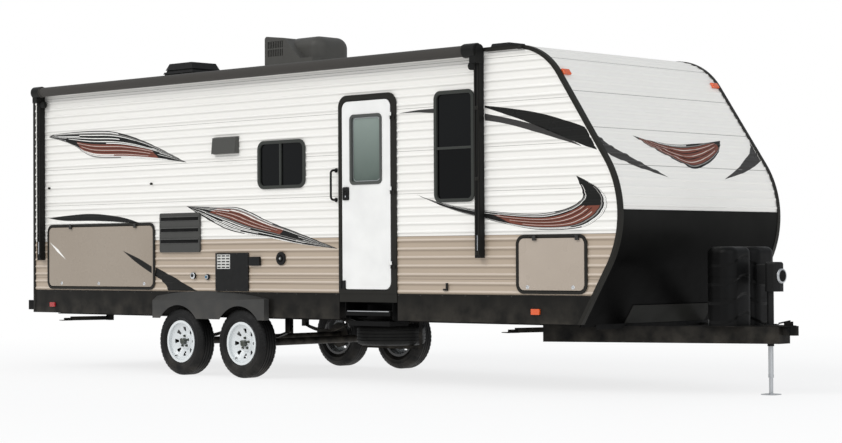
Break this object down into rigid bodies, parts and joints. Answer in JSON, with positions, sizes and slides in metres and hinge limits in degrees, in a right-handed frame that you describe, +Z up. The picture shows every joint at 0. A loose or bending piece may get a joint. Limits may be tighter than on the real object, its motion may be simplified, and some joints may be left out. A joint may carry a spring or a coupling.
{
  "type": "travel caravan",
  "caption": "Two-axle travel caravan with ribbed metal siding, storage hatches, entry door with folding step, and a tongue jack.",
  "frame": {"origin": "on the ground, midway between the rear bumper and the coupler's nose, on the centre line", "axes": "+X forward to the coupler, +Y to the left side, +Z up"},
  "size_m": [9.713, 2.654, 3.6208],
  "materials": {
    "white_siding": "satin",
    "beige_siding": "satin",
    "beige_panel": "satin",
    "wall_panel": "matte",
    "roof_membrane": "matte",
    "under_board": "matte",
    "dark_panel": "satin",
    "dark_trim": "satin",
    "black_plastic": "matte",
    "dark_glass": "gloss",
    "white_door": "satin",
    "frosted_glass": "satin",
    "white_metal": "gloss",
    "black_steel": "satin",
    "zinc_steel": "satin",
    "lamp_lens": "gloss",
    "awning_fabric": "matte",
    "black_metal": "satin",
    "tyre": "matte",
    "white_wheel": "gloss"
  },
  "bodies": {
    "coach": {"side_walls": "wall_panel", "end_walls": "wall_panel", "roof": "roof_membrane", "floor_panel": "under_board", "siding_upper": "white_siding", "siding_lower": "beige_siding", "front_panel": "dark_panel", "edge_trim": "dark_trim", "skirts": "dark_panel", "fender_skirts": "black_plastic", "window_frames": "dark_trim", "window_glass": "dark_glass", "door_frame": "dark_trim", "hatch_frames": "dark_trim", "wall_fittings": "black_plastic", "grab_rail": "white_metal", "main_rails": "black_steel", "cross_members": "black_steel", "drawbar": "black_steel", "coupler": "black_steel", "tongue_jack": "black_plastic", "gas_cover": "black_plastic", "rear_bumper": "black_steel", "axles": "black_steel", "springs": "black_steel", "step_frame": "black_steel", "marker_lamps": "lamp_lens", "awning_roller": "awning_fabric", "awning_arms": "black_metal", "air_conditioner": "black_plastic", "roof_vents": "black_plastic", "stabiliser_mounts": "black_steel", "spare_tyre": "tyre", "spare_rim": "white_wheel", "spare_carrier": "black_steel"},
    "entry_door": {"entry_door": "white_door", "door_fittings": "black_plastic", "door_glass": "frosted_glass"},
    "hatch_rear_right": {"hatch_rear_right": "beige_panel"},
    "hatch_front_right": {"hatch_front_right": "beige_panel"},
    "hatch_front_left": {"hatch_front_left": "beige_panel"},
    "jack_leg": {"jack_leg": "zinc_steel"},
    "wheel_rear_right": {"tyre_rear_right": "tyre", "rim_rear_right": "white_wheel"},
    "stabiliser_rear_right": {"stabiliser_rear_right": "black_steel"},
    "wheel_front_right": {"tyre_front_right": "tyre", "rim_front_right": "white_wheel"},
    "stabiliser_front_right": {"stabiliser_front_right": "black_steel"},
    "wheel_rear_left": {"tyre_rear_left": "tyre", "rim_rear_left": "white_wheel"},
    "stabiliser_rear_left": {"stabiliser_rear_left": "black_steel"},
    "wheel_front_left": {"tyre_front_left": "tyre", "rim_front_left": "white_wheel"},
    "stabiliser_front_left": {"stabiliser_front_left": "black_steel"},
    "step_upper_arms": {"step_upper_arms": "black_steel"},
    "step_upper_tread": {"step_upper_tread": "black_steel"},
    "step_lower_arms": {"step_lower_arms": "black_steel"},
    "step_lower_tread": {"step_lower_tread": "black_steel"}
  },
  "joints": [
    {"name": "wheel_rear_right_spin", "type": "hinge", "parent": "coach", "child": "wheel_rear_right", "pos_m": [-2.0315, -1.154, 0.356], "axis": [0, 1, 0], "continuous": true},
    {"name": "wheel_front_right_spin", "type": "hinge", "parent": "coach", "child": "wheel_front_right", "pos_m": [-1.0685, -1.154, 0.356], "axis": [0, 1, 0], "continuous": true},
    {"name": "wheel_rear_left_spin", "type": "hinge", "parent": "coach", "child": "wheel_rear_left", "pos_m": [-2.0315, 1.154, 0.356], "axis": [0, 1, 0], "continuous": true},
    {"name": "wheel_front_left_spin", "type": "hinge", "parent": "coach", "child": "wheel_front_left", "pos_m": [-1.0685, 1.154, 0.356], "axis": [0, 1, 0], "continuous": true},
    {"name": "entry_door_hinge", "type": "hinge", "parent": "coach", "child": "entry_door", "pos_m": [1.0965, -1.242, 1.84], "axis": [0, 0, 1], "range_deg": [0, 170]},
    {"name": "hatch_rear_right_hinge", "type": "hinge", "parent": "coach", "child": "hatch_rear_right", "pos_m": [-3.4385, -1.245, 1.607], "axis": [-1, 0, 0], "range_deg": [0, 160]},
    {"name": "hatch_front_right_hinge", "type": "hinge", "parent": "coach", "child": "hatch_front_right", "pos_m": [3.078, -1.245, 1.415], "axis": [-1, 0, 0], "range_deg": [0, 160]},
    {"name": "hatch_front_left_hinge", "type": "hinge", "parent": "coach", "child": "hatch_front_left", "pos_m": [3.078, 1.245, 1.415], "axis": [1, 0, 0], "range_deg": [0, 160]},
    {"name": "tongue_jack_slide", "type": "slide", "parent": "coach", "child": "jack_leg", "axis": [0, 0, 1], "range_m": [0, 0.24]},
    {"name": "stabiliser_rear_right_hinge", "type": "hinge", "parent": "coach", "child": "stabiliser_rear_right", "pos_m": [-4.1085, -0.56, 0.556], "axis": [0.9397, -0.342, 0], "range_deg": [0, 60]},
    {"name": "stabiliser_front_right_hinge", "type": "hinge", "parent": "coach", "child": "stabiliser_front_right", "pos_m": [2.6215, -0.56, 0.556], "axis": [0.9397, -0.342, 0], "range_deg": [0, 60]},
    {"name": "stabiliser_rear_left_hinge", "type": "hinge", "parent": "coach", "child": "stabiliser_rear_left", "pos_m": [-4.1085, 0.56, 0.556], "axis": [-0.9397, -0.342, 0], "range_deg": [0, 60]},
    {"name": "stabiliser_front_left_hinge", "type": "hinge", "parent": "coach", "child": "stabiliser_front_left", "pos_m": [2.6215, 0.56, 0.556], "axis": [-0.9397, -0.342, 0], "range_deg": [0, 60]},
    {"name": "step_upper_arms_swing", "type": "hinge", "parent": "coach", "child": "step_upper_arms", "pos_m": [0.7575, -1.18, 0.719], "axis": [-1, 0, 0], "range_deg": [0, 112]},
    {"name": "step_upper_tread_level", "type": "hinge", "parent": "step_upper_arms", "child": "step_upper_tread", "pos_m": [0.7575, -0.98195, 0.69117], "axis": [-1, 0, 0], "range_deg": [-112, 0]},
    {"name": "step_lower_arms_swing", "type": "hinge", "parent": "step_upper_tread", "child": "step_lower_arms", "pos_m": [0.7575, -1.16095, 0.64267], "axis": [-1, 0, 0], "range_deg": [0, 112]},
    {"name": "step_lower_tread_level", "type": "hinge", "parent": "step_lower_arms", "child": "step_lower_tread", "pos_m": [0.7575, -0.96758, 0.59158], "axis": [-1, 0, 0], "range_deg": [-112, 0]}
  ],
  "couplings": [
    {"joint": "step_upper_tread_level", "follows": "step_upper_arms_swing", "ratio": -1},
    {"joint": "step_lower_arms_swing", "follows": "step_upper_arms_swing", "ratio": 1},
    {"joint": "step_lower_tread_level", "follows": "step_upper_arms_swing", "ratio": -1}
  ]
}
